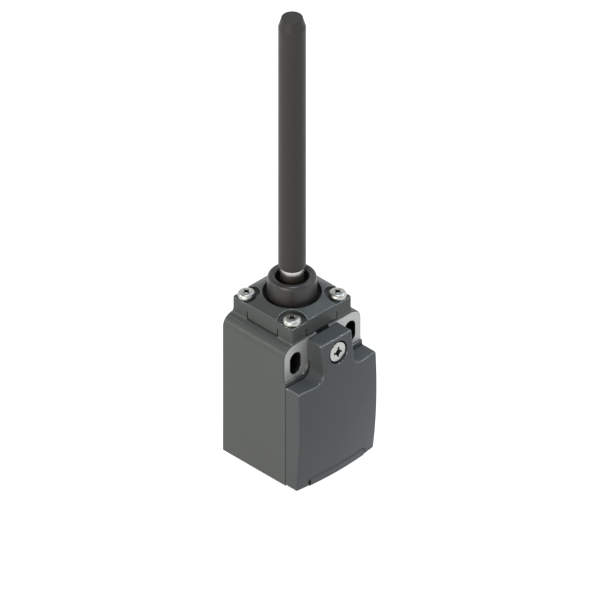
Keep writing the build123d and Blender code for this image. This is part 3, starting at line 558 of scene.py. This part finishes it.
# Nitrile rubber from a polished mould is nearly black, with broad soft highlights
boot_rubber = surface(
    "moulded_nitrile_rubber",
    ("2a2826", "312f2d"),
    (0.3, 0.38),
    grain=0.4,
    depth=0.006,
    blotch=3,
    IOR=1.5,
    Specular_IOR_Level=0.5,
)

# Seals are cut from duller rubber
seal_rubber = surface(
    "seal_rubber", ("1f1f1f", "262626"), (0.55, 0.7), grain=0.3, depth=0.01, blotch=3, **PLASTIC
)

# Acetal slides well and is left in its own milky white
white_acetal = surface(
    "white_acetal",
    ("d8d6cf", "e4e2dc"),
    (0.35, 0.48),
    grain=0.6,
    depth=0.004,
    blotch=4,
    edge=0.1,
    **PLASTIC,
)

# Glass fibre makes the pale polyester of the contact block dull
block_polyester = surface(
    "pale_glass_filled_polyester",
    ("bdbbb3", "cac8c0"),
    (0.45, 0.6),
    grain=0.3,
    depth=0.01,
    blotch=6,
    **PLASTIC,
)

# The moving carriage is dyed red, so that a fitter sees it travel
carriage_nylon = surface(
    "red_moulded_nylon",
    ("9c2a20", "ab3226"),
    (0.4, 0.52),
    grain=0.5,
    depth=0.005,
    blotch=4,
    edge=0.1,
    **PLASTIC,
)
print("the boot's rubber is", boot_rubber.name)

# %% [markdown]
# The metals keep the default IOR and take their look from colour and roughness. Zinc plating
# gives the screws and clamps a soft silver with a slight mottle, and their recesses are painted
# darker, as dirt and painted shade. Drawn spring wire is greyer and smoother, stamped brass is
# yellow with softened edges, the rocker is blackened against rust, and the ring under the rod is
# turned bright.

# %% Metals
# The dark colour in the screws' recesses is dirt and painted shade
zinc_plate = surface(
    "zinc_plated_steel",
    ("a9aba5", "b9bab4"),
    (0.3, 0.42),
    grain=0.5,
    depth=0.006,
    grime="262625",
    Metallic=1.0,
)
spring_steel = surface(
    "drawn_spring_steel", ("8f8f8f", "a3a3a3"), (0.25, 0.36), grain=0.4, depth=0.004, Metallic=1.0
)
contact_brass = surface(
    "stamped_brass",
    ("b8964e", "c9a75c"),
    (0.28, 0.42),
    grain=0.6,
    depth=0.005,
    edge=0.08,
    Metallic=1.0,
)
black_steel = surface(
    "blackened_steel", ("57534c", "625d56"), (0.48, 0.6), grain=0.5, depth=0.004, Metallic=1.0
)
ring_steel = surface(
    "turned_stainless_ring",
    ("c4c3bf", "d6d5d0"),
    (0.2, 0.3),
    grain=0.4,
    depth=0.003,
    edge=0.12,
    Metallic=1.0,
)
print("finishes so far:", len(bpy.data.materials))

# %% [markdown]
# Each CAD node gets its finish by name. Its mesh stays as it is, and only the material in its
# slots changes, so nothing that fits or moves is touched. The plain screws, springs and boot get
# theirs too, although finer meshes stand in for them further down.

# %% Put the finishes on the CAD nodes
SCREWS = ["head_screws", "cover_screw", "terminal_screws", "block_screws", "earth_screw"]
NODE_FINISHES = {
    case_coat: ["housing"],
    head_coat: ["head"],
    cover_coat: ["cover"],
    rod_nylon: ["rod"],
    boot_rubber: ["boot"],
    seal_rubber: ["head_seal", "stem_seal", "cover_gasket", "cover_screw_seal"],
    white_acetal: ["bearing_ring", "plunger"],
    block_polyester: ["contact_block", "contact_block_plate"],
    carriage_nylon: ["contact_carriage"],
    zinc_plate: [*SCREWS, "terminal_clamps", "hinge_pin"],
    spring_steel: ["head_spring", "carriage_spring", "contact_springs", "rod_core"],
    contact_brass: ["fixed_contacts", "bridge_contacts", "earth_clamp"],
    black_steel: ["rocker"],
    ring_steel: ["rod_ring"],
}
finish_of = {name: finish for finish, names in NODE_FINISHES.items() for name in names}
for name, node in frame["nodes"].items():
    for material_slot in node.material_slots:
        material_slot.material = finish_of[name]
print("nodes dressed:", len(finish_of), "of", len(frame["nodes"]))

# %% [markdown]
# Round pieces are turned: an outline of radius and height goes round the Z axis in even steps.
# Blender's Screw modifier could do it too, but a short loop closes the poles cleanly.

# %% Turning an outline


def smoothed(mesh, sharp):
    """Smooth shading, with a hard line where faces meet at more than this many degrees."""
    mesh.shade_smooth()
    mesh.set_sharp_from_angle(angle=math.radians(sharp))


def mesh_of(name, work):
    """A plain mesh from a closed work mesh, with its faces turned outwards."""
    bmesh.ops.recalc_face_normals(work, faces=work.faces)
    mesh = bpy.data.meshes.new(name)
    work.to_mesh(mesh)
    work.free()
    return mesh


def turned(name, outline, steps, finish, sharp=40):
    """A closed mesh made by turning a closed outline of (radius, height) round the Z axis."""
    work = bmesh.new()
    rings = []
    for radius, height in outline:
        if radius == 0:
            rings.append([work.verts.new((0, 0, height * MM))] * steps)
            continue
        ring = []
        for step in range(steps):
            turn = 2 * math.pi * step / steps
            x, y = radius * math.cos(turn), radius * math.sin(turn)
            ring.append(work.verts.new((x * MM, y * MM, height * MM)))
        rings.append(ring)
    for lower, upper in zip(rings, rings[1:] + rings[:1]):
        for step in range(steps):
            nearby = (step + 1) % steps
            corners = [lower[step], lower[nearby], upper[nearby], upper[step]]
            corners = list(dict.fromkeys(corners))
            if len(corners) > 2:
                work.faces.new(corners)
    mesh = mesh_of(name, work)
    smoothed(mesh, sharp)
    mesh.materials.append(finish)
    return put(name, mesh)


def arc(centre_r, centre_z, radius, start, end, steps):
    """Points on an arc, from one angle to another in degrees."""
    points = []
    for step in range(steps + 1):
        angle = math.radians(start + (end - start) * step / steps)
        points.append((centre_r + radius * math.cos(angle), centre_z + radius * math.sin(angle)))
    return points


print("a half circle in 4 steps has", len(arc(0, 0, 1, 0, 180, 4)), "points")

# %% [markdown]
# The boot is a rolled rubber bellows: a flange held in the head, a wall that rises to a round
# rim, and a lip that turns back down to grip the neck. In CAD it is a plain revolved solid. Here
# the same outline has more points and is turned in fine steps, so the rim catches the light as
# real rubber does.

# %% The boot
BOOT_STEPS, RIM_STEPS = 96, 20

flange = [(8.8, 50.75), (8.8, 51.6), (8.7, 51.68), (7.6, 51.7), (7.34, 51.9), (7.28, 52.4)]
wall = [(7.26, 53.6), (7.22, 55.0), (7.16, 56.6), (7.11, 57.8)]
rim = arc(5.9, 58.6, 1.2, 0, 180, RIM_STEPS)
lip = [(4.66, 57.6), (4.4, 56.4), (4.0, 55.5), (3.6, 55.1), (3.42, 54.8), (3.42, 53.4)]
under_lip = [(4.3, 53.4), (4.4, 54.6), (4.6, 55.2), (5.0, 56.0), (5.3, 57.0), (5.6, 58.4)]
under_rim = [(5.9, 58.8), (6.1, 58.4), (6.16, 56.6), (6.24, 53.6), (6.3, 50.75)]
boot_outline = flange + wall + rim + lip + under_lip + under_rim
boot = turned("rolled_boot", boot_outline, BOOT_STEPS, boot_rubber)
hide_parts("boot")
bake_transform(boot)
print("boot:", len(boot.data.vertices), "points,", len(boot.data.polygons), "faces")

# %% [markdown]
# Cross-recess screws hold the head, the cover and the terminals. A recess is what makes a screw
# read as a screw, so one is cut into a turned head with Boolean modifiers: two tapered blades
# and a square core. The core alone would look like a socket screw, and the blades alone have no
# centre for the driver.

# %% A cross-recess screw
RECESS_STEPS, RECESS_SHARP = 40, 32
# The cutters end above the face, and spread on the way up by this share of their slope
CUTTER_RISE, SPREAD_SHARE = 0.3, 0.6
# Half sizes of the cutters at the recess's floor and mouth, as shares of its reach and blade
FLOOR_REACH, FLOOR_BLADE, MOUTH_BLADE = 0.36, 0.35, 0.55
FLOOR_CORE, MOUTH_CORE = 0.3, 0.5
SQUARE = [(-1, -1), (1, -1), (1, 1), (-1, 1)]


def frustum(name, low_half, high_half, low_z, high_z):
    """A block whose lower and upper rectangles differ, given as half sizes."""
    work = bmesh.new()
    ends = []
    for (half_x, half_y), z in ((low_half, low_z), (high_half, high_z)):
        ends.append([work.verts.new((x * half_x * MM, y * half_y * MM, z * MM)) for x, y in SQUARE])
        work.faces.new(ends[-1])
    lower, upper = ends
    for step in range(4):
        nearby = (step + 1) % 4
        work.faces.new([lower[step], lower[nearby], upper[nearby], upper[step]])
    return put(name, mesh_of(name, work))


def finished_mesh(piece, name):
    """The piece as its modifiers leave it, as a mesh with none."""
    view = bpy.context.evaluated_depsgraph_get()
    mesh = bpy.data.meshes.new_from_object(piece.evaluated_get(view))
    mesh.name = name
    return mesh


def cross_screw(name, outline, reach, blade, depth):
    """A screw from its outline, with a cross recess of this reach, blade width and depth."""
    screw = turned(name, outline, RECESS_STEPS, zinc_plate, RECESS_SHARP)
    face = outline[0][1]
    low, high = face - depth, face + CUTTER_RISE
    mouth = reach * (1 + CUTTER_RISE / depth * SPREAD_SHARE)
    foot_blade = (reach * FLOOR_REACH, blade * FLOOR_BLADE)
    mouth_blade = (mouth, blade * MOUTH_BLADE)
    core = [(reach * share, reach * share) for share in (FLOOR_CORE, MOUTH_CORE)]
    cutters = [
        frustum("blade_x", foot_blade, mouth_blade, low, high),
        frustum("blade_y", foot_blade[::-1], mouth_blade[::-1], low, high),
        frustum("core", *core, low, high),
    ]
    for cutter in cutters:
        cut = screw.modifiers.new(cutter.name, "BOOLEAN")
        cut.operation = "DIFFERENCE"
        cut.solver = "EXACT"
        cut.object = cutter
    mesh = finished_mesh(screw, name)
    smoothed(mesh, RECESS_SHARP)
    for used in (screw, *cutters):
        bpy.data.objects.remove(used)
    return put(name, mesh)


print("a screw is turned in", RECESS_STEPS, "steps")

# %% [markdown]
# A screw's outline is its head, the underside, the shank and the point. The thread is drawn as
# grooves with no pitch angle, since only their shadows show. The pan head is flattened on top,
# the cover's screw has a flat head with a rounded rim, and the small ones are cheese heads.

# %% Outlines of the screws
# Where a groove's crest, flank and root end, as shares of the pitch
CREST_END, FLANK_END, ROOT_END = 0.15, 0.5, 0.65
POINT_CHAMFER = 0.3


def thread(root, crest, start, end, pitch):
    """Grooves that stand for a thread, as outline points going down."""
    points = []
    height = start
    while height - pitch > end:
        points += [(crest, height), (crest, height - CREST_END * pitch)]
        points += [(root, height - FLANK_END * pitch), (root, height - ROOT_END * pitch)]
        height -= pitch
    return points + [(crest, height), (crest - POINT_CHAMFER, end)]


def with_shank(head, radius, shank):
    """A screw's outline from its head's and its shank's, closed on the axis."""
    return head + [(radius, 0.0)] + shank + [(0, shank[-1][1])]


pan_top = [(0, 1.8), (1.2, 1.78), (1.8, 1.72), (2.1, 1.62), (2.35, 1.42), (2.53, 1.12)]
pan_side = [(2.62, 0.8), (2.65, 0.45), (2.64, 0.12), (2.56, 0.0)]
pan_thread = thread(root=1.2, crest=1.5, start=-1.2, end=-6.95, pitch=0.7)
pan_outline = with_shank(pan_top + pan_side, 1.5, pan_thread)

flat_head = [(0, 2.2), (2.6, 2.2), (3.0, 2.08), (3.15, 1.9), (3.2, 1.6), (3.2, 0.0)]
flat_thread = thread(root=1.55, crest=1.95, start=-1.2, end=-6.25, pitch=0.7)
flat_outline = with_shank(flat_head, 1.95, flat_thread)

terminal_head = [(0, 1.3), (1.3, 1.3), (1.65, 1.12), (1.8, 0.8), (1.8, 0.0)]
terminal_thread = thread(root=0.85, crest=1.1, start=-0.3, end=-4.4, pitch=0.5)
terminal_outline = with_shank(terminal_head, 1.1, terminal_thread)

block_head = [(0, 1.2), (1.2, 1.2), (1.55, 1.0), (1.7, 0.7), (1.7, 0.0)]
block_outline = with_shank(block_head, 1.1, [(1.1, -16.0)])

earth_head = [(0, 1.6), (1.5, 1.6), (1.95, 1.35), (2.1, 1.0), (2.1, 0.0)]
earth_outline = with_shank(earth_head, 1.5, [(1.5, -6.7)])
print("the pan head screw's outline has", len(pan_outline), "points")

# %% [markdown]
# The screws come in patterns, so a Geometry Nodes tree sets them out: a grid of points, one
# screw on each, a turn of its own for each, because hand-driven screws never stop at the same
# angle. The tree has named inputs for the pattern's sizes and a fixed seed for the turns.

# %% The tree that sets out a pattern of screws
SCREW_SPREAD = math.radians(7)


def new_tree(name, sockets):
    """A node tree with these named inputs and one geometry output, and its two end nodes."""
    tree = bpy.data.node_groups.new(name, "GeometryNodeTree")
    for label, kind in sockets.items():
        tree.interface.new_socket(label, in_out="INPUT", socket_type="NodeSocket" + kind)
    tree.interface.new_socket("Geometry", in_out="OUTPUT", socket_type="NodeSocketGeometry")
    return tree, add(tree, "NodeGroupInput").outputs, add(tree, "NodeGroupOutput")


def finish_tree(tree, shape, finish, goal):
    """End a tree in Realize Instances and Set Material, as the export needs."""
    real = add(tree, "GeometryNodeRealizeInstances", {"Geometry": shape})
    dressed = add(tree, "GeometryNodeSetMaterial", {"Geometry": real, "Material": finish})
    fill(tree, goal, {"Geometry": dressed})


def run_tree(tree, name, values):
    """Run a tree on an empty mesh and return the result as a plain piece."""
    carrier = put(name, bpy.data.meshes.new(name + "_carrier"))
    modifier = carrier.modifiers.new("tree", "NODES")
    modifier.node_group = tree
    for item in tree.interface.items_tree:
        if item.in_out == "INPUT":
            modifier[item.identifier] = values[item.name]
    mesh = finished_mesh(carrier, name)
    carrier.modifiers.remove(modifier)
    carrier.data = mesh
    return carrier


screw_sockets = {
    "Screw": "Object",
    "Columns": "Int",
    "Rows": "Int",
    "Width": "Float",
    "Height": "Float",
    "Place": "Vector",
    "Facing": "Vector",
    "Seed": "Int",
    "Finish": "Material",
}
screw_tree, given, goal = new_tree("screw_pattern", screw_sockets)
sizes = {"Size X": given["Width"], "Size Y": given["Height"]}
counts = {"Vertices X": given["Columns"], "Vertices Y": given["Rows"]}
grid = add(screw_tree, "GeometryNodeMeshGrid", {**sizes, **counts})
screw = add(screw_tree, "GeometryNodeObjectInfo", {0: given["Screw"]}, transform_space="ORIGINAL")
on_grid = {"Points": grid.outputs["Mesh"], "Instance": screw.outputs["Geometry"]}
screws = add(screw_tree, "GeometryNodeInstanceOnPoints", on_grid)
chance = add(screw_tree, "FunctionNodeRandomValue", {"Seed": given["Seed"]}, data_type="FLOAT")
fill(screw_tree, chance, {2: -SCREW_SPREAD, 3: SCREW_SPREAD})
spin = add(screw_tree, "ShaderNodeCombineXYZ", {"Z": chance.outputs[1]})
turns = {"Instances": screws, "Rotation": spin, "Local Space": True}
turned_screws = add(screw_tree, "GeometryNodeRotateInstances", turns)
facing = {"Translation": given["Place"], "Rotation": given["Facing"]}
placed = add(screw_tree, "GeometryNodeTransform", {"Geometry": turned_screws, **facing})
finish_tree(screw_tree, placed, given["Finish"], goal)
print("screw tree:", len(screw_tree.nodes), "nodes")

# %% [markdown]
# Each pattern stands in for a CAD node of plain screws, and that node's box says where it goes:
# less the heads' radius it is the pattern's width and height, and less the heads' height it is
# their seat. The head's screws face up and all others face the front.

# %% Set out the screws
FACING_UP, FACING_FRONT = (0, 0, 0), (math.pi / 2, 0, 0)
body_of = {}
for body, nodes in frame["record"]["behaviour"]["bodies"].items():
    body_of.update(dict.fromkeys(nodes, body))


def set_screws(node, outline, recess, seed, columns=1, rows=1, facing=FACING_FRONT):
    """A pattern of one crossed screw, in place of a CAD node of plain screws."""
    name = "crossed_" + node
    screw = cross_screw("one_of_" + node, outline, *recess)
    head_radius, head_height = max(point[0] for point in outline), outline[0][1]
    low, high = in_mm(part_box(node))
    spans = [max(0, b - a - 2 * head_radius) for a, b in zip(low, high)]
    place = [(a + b) / 2 for a, b in zip(low, high)]
    if facing == FACING_UP:
        width, height = spans[0], spans[1]
        place[2] = high[2] - head_height
    else:
        width, height = spans[0], spans[2]
        place[1] = low[1] + head_height
    values = {
        "Screw": screw,
        "Columns": columns,
        "Rows": rows,
        "Width": width * MM,
        "Height": height * MM,
        "Place": [v * MM for v in place],
        "Facing": facing,
        "Seed": seed,
        "Finish": zinc_plate,
    }
    piece = run_tree(screw_tree, name, values)
    bpy.data.objects.remove(screw)
    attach(piece, body_of[node])
    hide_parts(node)
    where = [round(v, 2) for v in place]
    print(name, "at", where, "has", len(piece.data.polygons), "faces")


# A recess is its reach from the middle, its blades' width and its depth
PAN_RECESS = (1.15, 0.5, 1.2)
FLAT_RECESS = (1.8, 0.75, 1.6)
TERMINAL_RECESS = (1.1, 0.45, 0.8)
BLOCK_RECESS = (1.0, 0.42, 0.75)
EARTH_RECESS = (1.25, 0.5, 0.9)
set_screws("head_screws", pan_outline, PAN_RECESS, seed=4, columns=2, rows=2, facing=FACING_UP)
set_screws("cover_screw", flat_outline, FLAT_RECESS, seed=2)
set_screws("terminal_screws", terminal_outline, TERMINAL_RECESS, seed=5, columns=2, rows=2)
set_screws("block_screws", block_outline, BLOCK_RECESS, seed=7, columns=2)
set_screws("earth_screw", earth_outline, EARTH_RECESS, seed=1)

# %% [markdown]
# The coil springs follow a rule, so a second tree makes them: a spiral curve, a round wire swept
# along it, and a flat turn at each end, as a compression spring has so that it stands square.
# The CAD springs have six-sided wire, which is enough for their place and not for a close look.

# %% The tree that winds a spring
STEPS_IN_A_TURN, WIRE_SIDES = 40, 12

spring_sockets = {
    "Radius": "Float",
    "Wire": "Float",
    "Low": "Float",
    "High": "Float",
    "Turns": "Float",
    "Flat Share": "Float",
    "Finish": "Material",
}
spring_tree, given, goal = new_tree("compression_spring", spring_sockets)
radii = {"Start Radius": given["Radius"], "End Radius": given["Radius"], "Height": 0.0}
turns = {"Resolution": STEPS_IN_A_TURN, "Rotations": given["Turns"]}
spiral = add(spring_tree, "GeometryNodeCurveSpiral", {**turns, **radii})
along = add(spring_tree, "GeometryNodeSplineParameter").outputs["Factor"]
rise = {
    "Value": along,
    "From Min": given["Flat Share"],
    "From Max": chain(spring_tree, "SUBTRACT", 1.0, given["Flat Share"]),
    "To Min": chain(spring_tree, "ADD", given["Low"], given["Wire"]),
    "To Max": chain(spring_tree, "SUBTRACT", given["High"], given["Wire"]),
}
lift = add(spring_tree, "ShaderNodeCombineXYZ", {"Z": add(spring_tree, "ShaderNodeMapRange", rise)})
wound = add(spring_tree, "GeometryNodeSetPosition", {"Geometry": spiral, "Offset": lift})
section = {"Resolution": WIRE_SIDES, "Radius": given["Wire"]}
wire = add(spring_tree, "GeometryNodeCurvePrimitiveCircle", section)
sweep = {"Curve": wound, "Profile Curve": wire, "Fill Caps": True}
swept = add(spring_tree, "GeometryNodeCurveToMesh", sweep)
soft = add(spring_tree, "GeometryNodeSetShadeSmooth", {"Geometry": swept})
finish_tree(spring_tree, soft, given["Finish"], goal)
print("spring tree:", len(spring_tree.nodes), "nodes")

# %% [markdown]
# Each spring stands as high as its CAD node. The head's spring and the carriage's stand on the
# case and are pressed by what moves above them, and here keep the length they have at rest. The
# two small ones press the bridge contacts and ride with the carriage at one length.

# %% Wind the springs
CONTACT_SPRING_LENGTH = 1.81
# Radius to the wire's middle, the wire's own radius, turns, and each flat end's share of them
HEAD_COIL = (5.3, 0.4, 3.5, 0.14)
CARRIAGE_COIL = (1.9, 0.22, 5.0, 0.12)
CONTACT_COIL = (0.9, 0.15, 4.5, 0.12)


def wind_spring(name, coil, low, high):
    """A spring of this coil between two heights."""
    radius, gauge, turns, flat = coil
    values = {
        "Radius": radius * MM,
        "Wire": gauge * MM,
        "Low": low * MM,
        "High": high * MM,
        "Turns": turns,
        "Flat Share": flat,
        "Finish": spring_steel,
    }
    piece = run_tree(spring_tree, name, values)
    print(name, "from", low, "to", round(high, 2), "has", len(piece.data.polygons), "faces")
    return piece


pressed = [("head_spring", HEAD_COIL, "plunger"), ("carriage_spring", CARRIAGE_COIL, "carriage")]
for node, coil, pusher in pressed:
    low, high = [corner[2] for corner in in_mm(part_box(node))]
    spring = wind_spring("wound_" + node, coil, low, high)
    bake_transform(spring)
    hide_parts(node)

low, high = [corner[2] for corner in in_mm(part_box("contact_springs"))]
upper_foot = high - CONTACT_SPRING_LENGTH
upper_spring = wind_spring("wound_upper_contact_spring", CONTACT_COIL, upper_foot, high)
lower_top = low + CONTACT_SPRING_LENGTH
lower_spring = wind_spring("wound_lower_contact_spring", CONTACT_COIL, low, lower_top)
for spring in (upper_spring, lower_spring):
    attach(spring, "carriage")
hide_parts("contact_springs")

# %% [markdown]
# The hinge pin goes in from the left through a bore in the cover's side. On the real switch the
# bore's mouth is closed and painted over, so it can't be seen. A short painted plug closes it
# here. It is turned like the screws, then laid along X, and it swings with the cover.

# %% A plug in the hinge pin's bore
PLUG_RADIUS, PLUG_LENGTH, PLUG_STEPS = 0.85, 1.0, 32

plug_outline = [(0, 0), (PLUG_RADIUS, 0), (PLUG_RADIUS, PLUG_LENGTH), (0, PLUG_LENGTH)]
plug = turned("painted_bore_plug", plug_outline, PLUG_STEPS, cover_coat)
mouth = Matrix.Translation(Vector((case_low[0], hinge_at[1], hinge_at[2])) * MM)
plug.data.transform(mouth @ Matrix.Rotation(math.pi / 2, 4, "Y"))
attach(plug, "cover")
print("plug reaches from X", round(min(v.co.x for v in plug.data.vertices) / MM, 2), "mm inwards")
